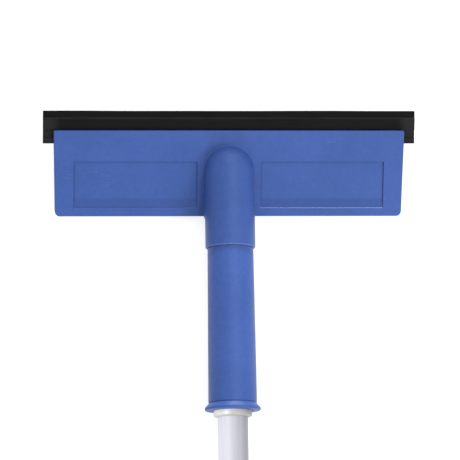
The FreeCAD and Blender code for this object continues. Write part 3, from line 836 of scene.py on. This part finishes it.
@dataclass(frozen=True)
class MattPaper(Finish):
    """A roll of matt white paper, uncoated.

    To the eye: an even white without a sheen, lit through a little from below.
    """

    colour: str = "#a8a8a8"
    glow: str = "#ffffff"
    glow_strength: float = 0.74
    roughness: float = 0.9

    def look(self) -> dict[str, Any]:
        """Constants alone, because paper looks the same everywhere.

        Returns:
            The shader's inputs by name.
        """
        return {
            "Base Color": linear(self.colour), "Roughness": self.roughness,
            "Specular IOR Level": 0.1, "Emission Color": linear(self.glow),
            "Emission Strength": self.glow_strength,
        }


FINISHES = {
    Slot.BLUE_PLASTIC: MouldedPolypropylene("moulded_blue_polypropylene"),
    Slot.BLACK_RUBBER: ExtrudedRubber("extruded_black_rubber"),
    Slot.WHITE_PLASTIC: NaturalPolypropylene("moulded_white_polypropylene"),
    Slot.COATED_STEEL: CoatedSteelTube("roller_coated_steel_tube"),
    Slot.ZINC_STEEL: ZincPlatedSteel("zinc_plated_steel"),
}


@cache
def finish_of(slot: Slot) -> Material:
    """The finish of a slot, built when it is first asked for."""
    return FINISHES[slot].build()


def dress_node(node: str, finish: Material) -> None:
    """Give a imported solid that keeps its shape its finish.

    Args:
        node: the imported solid's name.
        finish: the finish for all of its slots.
    """
    for slot in frame["nodes"][node].material_slots:
        slot.material = finish
    log.info("%s keeps its packed shape, finish %s", node, finish.name)


def put_on(piece: Piece, body: BodyName, slot: Slot, node: str) -> None:
    """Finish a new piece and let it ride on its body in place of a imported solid.

    Args:
        piece: the new piece, already in place.
        body: the body that it rides on.
        slot: the record's slot, which gives its finish.
        node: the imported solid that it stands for.
    """
    piece.data.materials.append(finish_of(slot))
    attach(piece, body.value)
    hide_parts(node)
    log.info("%s: %d faces, rides on %s", piece.name, len(piece.data.polygons), body.value)


# ---- rubber strip ----


@dataclass
class RubberStrip:
    """The extruded wiping strip: bead, neck, body and thin lip.

    The section's sizes are half widths, and levels up the head's frame from the neck
    point. The lip's edge waves by sag, sways by sway, is cut trim short and rounds off
    over nick at both ends. Painted light lightens the body past a share of the half
    length, and fades in.
    """

    axes: Axes
    length: float = 250.0
    plane: float = 5.0
    bead_foot: float = 16.4
    bead_top: float = 20.2
    bead_half: float = 2.6
    bead_round: float = 0.8
    neck_half: float = 1.5
    seat: float = 25.8
    body_half: float = 2.3
    shoulder: float = 33.4
    shoulder_rise: float = 0.8
    root_half: float = 1.1
    edge_half: float = 0.6
    tip: float = 38.4
    stations: int = 181
    sag: float = 0.22
    sway: float = 0.16
    trim: float = 0.04
    nick: float = 0.5
    wiped_edge: float = 0.6
    # where the painted light at both ends starts, and how fast it fades in
    lit_ends_from: float = 0.90
    lit_ends_fade: float = 0.06

    def section(self) -> np.ndarray:
        """Rounded outline of the section.

        Returns:
            Array (n, 2) of half width and level.
        """
        flank = np.array([
            (self.bead_half, self.bead_foot, self.bead_round),
            (self.bead_half, self.bead_top, self.bead_round),
            (self.neck_half, self.bead_top, 0.2),
            (self.neck_half, self.seat, 0.2),
            (self.body_half, self.seat, 0.25),
            (self.body_half, self.shoulder, 0.3),
            (self.root_half, self.shoulder + self.shoulder_rise, 0.35),
            (self.edge_half, self.tip, 0.12),
        ])
        other = flank[::-1] * np.array((-1.0, 1.0, 1.0))
        return rounded(np.vstack((flank, other)), steps=5)

    def stretch(self) -> np.ndarray:
        """Carry the section along the strip.

        In words: point (i, j) is the section's point j at station i. The lip, by the
        square of its height over the shoulder, sags and sways by a few sines of unlike
        length, as cut rubber does, and its corners round off at both ends.

        Returns:
            Grid (stations, section, 3) in the head's frame.
        """
        outline = self.section()
        reach = self.length / 2
        across = reach * np.sin(np.linspace(-math.pi / 2, math.pi / 2, self.stations))[:, None]
        lift = np.clip((outline[:, 1] - self.shoulder) / (self.tip - self.shoulder), 0.0, 1.0)
        share = (lift ** 2)[None, :]
        turn = across / reach * math.pi
        wave = 0.5 + 0.3 * np.sin(1.3 * turn + 2.2) + 0.2 * np.sin(3.1 * turn + 0.4)
        swing = 0.6 * np.sin(1.7 * turn + 0.9) + 0.4 * np.sin(4.3 * turn)
        near_end = np.clip((np.abs(across) - (reach - self.nick)) / self.nick, 0.0, 1.0)
        dip = self.trim + self.sag * wave + self.nick * (1.0 - np.sqrt(1.0 - near_end ** 2))
        back = self.plane + outline[:, 0][None, :] + self.sway * swing * share
        level = outline[:, 1][None, :] - dip * share
        across = np.broadcast_to(across, level.shape)
        return np.stack((across, back, level), axis=-1)

    def bloom_and_lit_ends(self, grid: np.ndarray) -> np.ndarray:
        """How far the grey bloom has come out on each point, with painted light at both ends.

        In words: 0 on the lip, which wiping keeps clean, 1 below the shoulder, and more
        there towards both ends, which is painted light that lightens the ends.

        Args:
            grid: points in the head's frame, in millimetres.

        Returns:
            Array (stations, section).
        """
        drop = self.shoulder + self.shoulder_rise - grid[..., 2]
        below = np.clip(drop / self.wiped_edge, 0.0, 1.0)
        reach = np.abs(grid[..., 0]) / (self.length / 2)
        # painted light towards both ends
        lit_end = np.clip((reach - self.lit_ends_from) / self.lit_ends_fade, 0.0, 1.0)
        return below * (1.0 + (ExtrudedRubber.lit_end_peak - 1.0) * lit_end)

    def build(self) -> None:
        """Build the strip and dress it."""
        grid = self.stretch()
        strip = surface("wiping_strip", self.axes.place(grid), crease=40.0)
        bloom = strip.data.attributes.new(ExtrudedRubber.bloom_and_light_map, "FLOAT", "POINT")
        bloom.data.foreach_set("value", self.bloom_and_lit_ends(grid).ravel())
        put_on(strip, BodyName.BLADE, Slot.BLACK_RUBBER, "rubber_blade")


# ---- grip ----


@dataclass
class GripSleeve:
    """The turned grip: spigot, tapered barrel, rolled flange and stepped mouth.

    Radii, and levels along the handle's axis from the neck point, down being negative.
    """

    axes: Axes
    spigot_top: float = -11.1
    spigot_radius: float = 12.9
    spigot_bore: float = 10.2
    crown: float = 2.5
    rim: float = -54.4
    top_radius: float = 15.35
    low_radius: float = 16.2
    foot: float = -158.9
    flange_radius: float = 18.65
    lip_top: float = -161.9
    lip_edge: float = 1.7
    lip_crown: float = 1.1
    lip_heel: float = 0.8
    groove: float = 0.3
    groove_width: float = 0.45
    mouth: float = -164.0
    mouth_radius: float = 13.3
    ledge: float = -162.2
    socket_radius: float = 12.3
    socket_top: float = -106.2
    bore: float = 11.6
    segments: int = 192
    ridge: float = 0.05
    ridge_width: float = 1.2

    def outline(self) -> np.ndarray:
        """Closed outline of the wall.

        Returns:
            Array (n, 2) of radius and level.
        """
        corners = np.array([
            (self.spigot_radius, self.spigot_top, 0.5),
            (0.4, self.spigot_top, 0.3),
            (0.4, self.spigot_top - self.crown, 0.3),
            (self.spigot_bore, self.spigot_top - self.crown, 0.8),
            (self.spigot_bore, self.rim, 0.8),
            (self.bore, self.rim - self.crown, 0.8),
            (self.bore, self.socket_top, 0.2),
            (self.socket_radius, self.socket_top, 0.25),
            (self.socket_radius, self.ledge, 0.2),
            (self.mouth_radius, self.ledge, 0.25),
            (self.mouth_radius, self.mouth, 0.30),
            (self.flange_radius, self.lip_top - self.lip_edge, self.lip_heel),
            (self.flange_radius, self.lip_top, self.lip_crown),
            (self.low_radius - self.groove, self.foot, 0.12),
            (self.low_radius - self.groove, self.foot + self.groove_width, 0.1),
            (self.low_radius, self.foot + self.groove_width + 0.15, 0.1),
            (self.top_radius, self.rim, 0.5),
            (self.spigot_radius, self.rim, 0.2),
        ])
        return rounded(corners, steps=8)

    def build(self) -> None:
        """Build the grip and dress it."""
        grid = turned(self.outline(), self.segments, self.ridge, self.ridge_width)
        grip = surface("grip_turned_sleeve", self.axes.place(grid), ring=True, crease=50.0)
        put_on(grip, BodyName.HEAD, Slot.BLUE_PLASTIC, "grip_sleeve")


# ---- pole ----


@dataclass
class PoleTube:
    """The thin steel tube, open at both ends, with dressed rims.

    Radii, and levels along the handle's axis from the neck point.
    """

    axes: Axes
    top: float = -116.45
    foot: float = -616.45
    outer: float = 10.0
    inner: float = 9.1
    rim_round: float = 0.3
    rings: int = 60
    segments: int = 160

    def outline(self) -> np.ndarray:
        """Closed outline of the wall: up the outside in even rings, down the inside.

        Returns:
            Array (n, 2) of radius and level.
        """
        levels = np.linspace(self.foot, self.top, self.rings)[1:-1]
        middle = (self.outer + self.inner) / 2
        outside = np.column_stack((np.full(self.rings - 2, self.outer), levels))
        inside = np.column_stack((np.full(self.rings - 2, self.inner), levels[::-1]))
        dressed = self.outer - self.rim_round
        head = np.array([
            (self.outer, self.top - self.rim_round), (dressed, self.top),
            (middle, self.top), (self.inner, self.top),
        ])
        tail = np.array([
            (self.inner, self.foot), (middle, self.foot),
            (dressed, self.foot), (self.outer, self.foot + self.rim_round),
        ])
        return np.vstack((outside, head, inside, tail))

    def build(self) -> None:
        """Build the tube and dress it."""
        grid = turned(self.outline(), self.segments)
        tube = surface("pole_coated_tube", self.axes.place(grid), ring=True, crease=40.0)
        put_on(tube, BodyName.POLE, Slot.COATED_STEEL, "pole_tube")


@dataclass
class PlugCollar:
    """The moulded plug: fluted sleeve in the grip, round collar in sight.

    Radii, and levels along the handle's axis from the neck point. The collar draws in
    by collar_draft over collar_rise above its foot.
    """

    axes: Axes
    top: float = -106.45
    radius: float = 12.05
    bore: float = 10.05
    seat: float = -162.45
    collar_radius: float = 12.9
    collar_foot: float = -167.4
    collar_draft: float = 0.3
    collar_rise: float = 0.4
    bush_radius: float = 10.5
    bush_foot: float = -168.2
    lead_in: float = 0.5
    flutes: int = 6
    flute_depth: float = 1.0
    flute_half: float = 1.3
    flute_margin: float = 4.0
    flute_flank: float = 0.25
    flute_runout: float = 0.8
    rings: int = 70
    segments: int = 240

    def outline(self) -> np.ndarray:
        """Closed outline of the wall, with even rings up the fluted stretch.

        Returns:
            Array (n, 2) of radius and level.
        """
        corners = np.array([
            (self.bore, self.top, 0.2),
            (self.bore, self.bush_foot, 0.2),
            (self.bush_radius, self.bush_foot, 0.15),
            (self.collar_radius - self.collar_draft, self.collar_foot, 0.25),
            (self.collar_radius, self.collar_foot + self.collar_rise, 0.3),
            (self.collar_radius, self.seat, 0.3),
            (self.radius, self.seat, 0.15),
        ])
        arc = 6
        lower = rounded(corners, steps=arc)[:-arc]
        levels = np.linspace(self.seat, self.top - self.lead_in, self.rings)
        sleeve = np.column_stack((np.full(self.rings, self.radius), levels))
        return np.vstack((lower, sleeve, [(self.radius - self.lead_in, self.top)]))

    def fluted(self, grid: np.ndarray) -> np.ndarray:
        """Press blind flutes into the sleeve's outside.

        In words: a point on the outside moves in by the flute's depth where it lies
        within a flute's half width of its middle line and between its two ends, with
        soft steps at all four sides.

        Args:
            grid: the turned grid in the handle's frame, in millimetres.

        Returns:
            The grid with its flutes.
        """
        radius = np.hypot(grid[..., 0], grid[..., 1])
        angle = np.arctan2(grid[..., 1], grid[..., 0]) + math.pi / 2
        pitch = 2 * math.pi / self.flutes
        aside = radius * np.abs((angle + pitch / 2) % pitch - pitch / 2)
        across = np.clip((self.flute_half - aside) / self.flute_flank + 0.5, 0.0, 1.0)
        up = grid[..., 2] - (self.seat + self.flute_margin)
        down = (self.top - self.flute_margin) - grid[..., 2]
        along = np.clip(up / self.flute_runout, 0.0, 1.0)
        along = along * np.clip(down / self.flute_runout, 0.0, 1.0)
        outside = radius > (self.radius + self.bore) / 2
        depth = self.flute_depth * across * along * outside
        share = ((radius - depth) / radius)[..., None]
        return grid * np.concatenate((share, share, np.ones_like(share)), axis=-1)

    def build(self) -> None:
        """Build the plug and dress it."""
        grid = self.fluted(turned(self.outline(), self.segments))
        plug = surface("plug_fluted_collar", self.axes.place(grid), ring=True, crease=45.0)
        put_on(plug, BodyName.POLE, Slot.WHITE_PLASTIC, "pole_plug")


@dataclass
class DrivePin:
    """A cross pin with rounded ends, driven along X through the pole.

    Its level is along the handle's axis, its reach half its length. Both ends close with
    one flat face of the radius centre.
    """

    axes: Axes
    name: str
    level: float
    reach: float
    node: str
    radius: float = 1.6
    end_round: float = 0.35
    centre: float = 0.05
    segments: int = 48

    def build(self) -> None:
        """Build the pin and dress it.

        In words: a closed outline of radius against distance along the pin, turned round
        the pin's own axis, with its lengthwise coordinate laid along X.
        """
        angle = np.linspace(0.0, math.pi / 2, 7)
        end_radius = self.radius - self.end_round + self.end_round * np.cos(angle)
        end_along = self.reach - self.end_round + self.end_round * np.sin(angle)
        radius = np.concatenate(([self.centre], end_radius[::-1], end_radius, [self.centre]))
        along = np.concatenate(([-self.reach], -end_along[::-1], end_along, [self.reach]))
        ring = turned(np.column_stack((radius, along)), self.segments)
        grid = np.stack((ring[..., 2], ring[..., 0], ring[..., 1] + self.level), axis=-1)
        pin = surface(self.name, self.axes.place(grid), crease=50.0)
        put_on(pin, BodyName.POLE, Slot.ZINC_STEEL, self.node)


# ---- screws ----


@dataclass
class CrossScrew:
    """A pan-head self-tapping screw with a cross recess, driven from behind.

    Attributes:
        seat: how far behind the frame's plane the head's under-face lies.
        length: the shank's length.
        radius: the thread's outer radius.
        head_radius: the head's radius.
        head_height: the head's height.
        recess: half length of the recess's arms.
        pitch: the thread's pitch.
        thread_depth: the thread's depth.
        arm_half: half width of the recess's arms.
        dome: share of a whole dome that the crown takes in.
        under_dome: height below the dome, as a share of the head's height.
        sink: depth of the recess's middle, as such a share.
        segments: points round the axis.
    """

    seat: float
    length: float
    radius: float
    head_radius: float
    head_height: float
    recess: float
    pitch: float = 1.1
    thread_depth: float = 0.38
    arm_half: float = 0.42
    dome: float = 0.93
    under_dome: float = 0.42
    sink: float = 0.85
    segments: int = 72

    def outline(self) -> np.ndarray:
        """Outline over the crown, under the head, down the shank and to the point.

        Returns:
            Array (n, 2) of radius and depth.
        """
        crown_radius = np.linspace(0.04, self.head_radius, 24)
        bulge = np.sqrt(1.0 - (self.dome * crown_radius / self.head_radius) ** 2)
        height = self.under_dome + (1.0 - self.under_dome) * bulge
        crown = self.seat + self.head_height * height
        under = np.array([(self.head_radius, self.seat), (self.radius, self.seat)])
        tip = self.seat - self.length
        turns = np.linspace(self.seat - 0.3, tip + 1.8, int(self.length * 9))
        shank = np.column_stack((np.full(len(turns), self.radius), turns))
        point = np.array([(self.radius * 0.45, tip + 0.4), (0.04, tip)])
        return np.vstack((np.column_stack((crown_radius, crown)), under, shank, point))

    def grid(self, across: float, up: float) -> np.ndarray:
        """The screw's surface at one place of the frame.

        In words: the outline turned round the screw's axis. The crown sinks by the
        recess's depth where the point lies on either arm of a cross, and the shank's
        radius falls and rises once a pitch with a phase that turns with the angle, which
        makes a helical thread.

        Args:
            across: the axis's place along X, in millimetres.
            up: its level in the frame.

        Returns:
            Grid (outline, segments, 3) in the frame.
        """
        body = turned(self.outline(), self.segments)
        x, z, back = body[..., 0], body[..., 1], body[..., 2]
        angle = np.arctan2(z, x)
        arm_x = (np.abs(z) < self.arm_half) & (np.abs(x) < self.recess)
        arm_z = (np.abs(x) < self.arm_half) & (np.abs(z) < self.recess)
        crown = back > self.seat + 0.2 * self.head_height
        distance = np.hypot(x, z) / self.recess
        depth = self.sink * self.head_height * (1.0 - 0.45 * distance)
        back = back - np.where((arm_x | arm_z) & crown, depth, 0.0)
        threaded = (back < self.seat - 0.25) & (np.hypot(x, z) > 0.9 * self.radius)
        wave = 0.5 - 0.5 * np.cos(2 * math.pi * back / self.pitch - angle)
        share = 1.0 - np.where(threaded, self.thread_depth * wave ** 0.6 / self.radius, 0.0)
        return np.stack((across + x * share, back, up + z * share), axis=-1)


@dataclass
class ScrewSet:
    """The screws that close the head and lock the grip, all driven from behind.

    An inner and an outer pair stand high in the head's frame, a second outer pair low.
    """

    head: Axes
    handle: Axes
    inner: float = 21.2
    outer: float = 112.4
    high: float = 12.3
    low: float = -28.5
    neck_level: float = -42.4

    def build(self) -> None:
        """Build both kinds of screw and dress them."""
        small = CrossScrew(
            seat=8.5, length=6.1, radius=1.5, head_radius=2.8, head_height=1.5, recess=1.5)
        half = ((self.inner, self.high), (self.outer, self.high), (self.outer, self.low))
        places = [(side * across, up) for side in (1, -1) for across, up in half]
        grids = [self.head.place(small.grid(across, up)) for across, up in places]
        screws = surface("shell_pan_head_screws", *grids, crease=40.0)
        put_on(screws, BodyName.HEAD, Slot.ZINC_STEEL, "shell_screws")
        large = CrossScrew(
            seat=15.25, length=5.05, radius=1.9, head_radius=3.5, head_height=1.5, recess=1.9)
        grid = self.handle.place(large.grid(0.0, self.neck_level))
        neck = surface("neck_pan_head_screw", grid, crease=40.0)
        put_on(neck, BodyName.HEAD, Slot.ZINC_STEEL, "neck_screw")


# ---- studio ----


class Reach(Enum):
    """Whether a lamp lights only its pieces, or all but them."""

    ONLY = "INCLUDE"
    ALL_BUT = "EXCLUDE"


@dataclass(frozen=True)
class SoftLight:
    """One square soft light.

    Attributes:
        name: the lamp's name.
        place: where it hangs, in metres.
        size: its side, in metres.
        power: its power, in watts.
        reach: whether it lights only the pieces, or all but them.
        pieces: names of the pieces in question.
        aim: the point it looks at, in metres.
    """

    name: str
    place: Triple
    size: float
    power: float
    reach: Reach
    pieces: tuple[str, ...]
    aim: Triple = (0.0, 0.22, 0.02)

    def hang(self) -> None:
        """Hang the lamp and choose what it lights."""
        data = bpy.data.lights.new(self.name, "AREA")
        data.energy = self.power
        data.size = self.size
        lamp = bpy.data.objects.new(self.name, data)
        lamp.visible_camera = False
        lamp.location = self.place
        lamp.rotation_mode = "QUATERNION"
        lamp.rotation_quaternion = (Vector(self.place) - Vector(self.aim)).to_track_quat("Z", "Y")
        bpy.context.scene.collection.objects.link(lamp)
        group = bpy.data.collections.new("receivers_of_" + self.name)
        lamp.light_linking.receiver_collection = group
        for piece in self.pieces:
            group.objects.link(bpy.data.objects[piece])
        for entry in group.collection_objects:
            entry.light_linking.link_state = self.reach.value


POLE_PIECES = ("pole_coated_tube", "plug_fluted_collar")
LIGHTS = (
    SoftLight("key", (0.85, -0.75, 0.95), 0.50, 13.0, Reach.ALL_BUT, POLE_PIECES),
    SoftLight("over_grip", (0.30, 0.40, 1.25), 0.90, 4.6, Reach.ALL_BUT, POLE_PIECES),
    SoftLight("top_glint", (-0.05, 1.50, 0.50), 0.16, 16.0, Reach.ONLY,
              ("grip_turned_sleeve", "wiping_strip")),
    SoftLight("head_fill", (0.10, 1.30, 0.80), 0.90, 5.0, Reach.ONLY, ("front_shell",)),
    SoftLight("rim_glint", (0.10, -1.50, 0.34), 0.10, 7.0, Reach.ONLY,
              ("front_shell", "grip_turned_sleeve")),
    SoftLight("lip_glint", (0.35, 1.50, 0.20), 0.14, 7.0, Reach.ONLY, ("grip_turned_sleeve",)),
    SoftLight("pole_side", (-0.50, 0.05, 0.60), 0.20, 7.0, Reach.ONLY, POLE_PIECES),
)


@dataclass
class Studio:
    """White paper floor, pale room, soft lights and the camera.

    Attributes:
        axes: the handle's frame, whose side the camera looks at.
        lens: focal length in millimetres on the default sensor.
        distance: metres from the camera to the point it looks at.
        drop: millimetres from the neck point down to that point.
        tip: degrees that the camera stands below the square view of the handle.
        swing: degrees that it stands to the left of it.
        roll: degrees that it is turned about its own line of sight.
        nudge: millimetres that the aim is moved to the right.
        far: how far the camera sees, in metres.
        floor_reach: metres from the middle of the floor to its sides.
        room_glow: strength of the even light from all round.
    """

    axes: Axes
    lens: float = 257.15
    distance: float = 2.2
    drop: float = 42.04
    tip: float = 9.97
    swing: float = 4.3
    roll: float = -0.107
    nudge: float = -0.10
    far: float = 100.0
    floor_reach: float = 30.0
    room_glow: float = 1.0

    def shoot(self) -> None:
        """Set the camera up."""
        down = -self.axes.point(0, 0, 1) + self.axes.point(0, 0, 0)
        down.normalize()
        side = Vector((1, 0, 0))
        out = side.cross(down).normalized()
        out = out if out.z > 0 else -out
        tip, swing, roll = (math.radians(turn) for turn in (self.tip, self.swing, self.roll))
        level = out * math.cos(tip) + down * math.sin(tip)
        back = level * math.cos(swing) - side * math.sin(swing)
        right = side * math.cos(swing) + level * math.sin(swing)
        up = back.cross(right)
        right, up = (
            right * math.cos(roll) + up * math.sin(roll),
            up * math.cos(roll) - right * math.sin(roll),
        )
        aim = self.axes.point(0, 0, -self.drop) + right * self.nudge * MM
        data = bpy.data.cameras.new("camera")
        data.lens = self.lens
        data.clip_end = self.far
        camera = bpy.data.objects.new("camera", data)
        bpy.context.scene.collection.objects.link(camera)
        turn = Matrix((right, up, back)).transposed()
        camera.matrix_world = Matrix.Translation(aim + back * self.distance) @ turn.to_4x4()
        bpy.context.scene.camera = camera

    def lay_floor(self) -> None:
        """Lay the white paper under the squeegee."""
        corners = np.array([(-1, -1, 0), (1, -1, 0), (1, 1, 0), (-1, 1, 0)]) * self.floor_reach
        mesh = bpy.data.meshes.new("floor")
        mesh.from_pydata(corners.tolist(), [], [(0, 1, 2, 3)])
        mesh.materials.append(MattPaper("matt_white_paper").build())
        floor = bpy.data.objects.new("floor", mesh)
        bpy.context.scene.collection.objects.link(floor)

    def light(self) -> None:
        """Make the pale room and hang the lights in it."""
        world = bpy.data.worlds.new("pale_room")
        world.use_nodes = True
        world.node_tree.nodes.clear()
        sky = add_node(world.node_tree, Kind.SKY, linear("#ffffff"), self.room_glow)
        add_node(world.node_tree, Kind.WORLD_END, sky)
        bpy.context.scene.world = world
        for lamp in LIGHTS:
            lamp.hang()
        bpy.context.scene.view_settings.view_transform = "Standard"

    def build(self) -> None:
        """Set up camera, floor and light."""
        self.shoot()
        self.lay_floor()
        self.light()
        log.info("studio: camera, floor and lights are up")


def main() -> None:
    """Dress the kept solids, build every sub-assembly and the studio."""
    layout = Layout()
    handle, head = layout.handle(), layout.head()
    for node in ("front_shell", "rear_cover", "pole_cap"):
        dress_node(node, finish_of(Slot.BLUE_PLASTIC))
    RubberStrip(head).build()
    GripSleeve(handle).build()
    ScrewSet(head, handle).build()
    PlugCollar(handle).build()
    PoleTube(handle).build()
    DrivePin(handle, "plug_drive_pin", -134.45, 12.05, "plug_pin").build()
    DrivePin(handle, "cap_drive_pin", -603.45, 12.0, "cap_pin").build()
    Studio(handle).build()


if __name__ == "__main__":
    main()
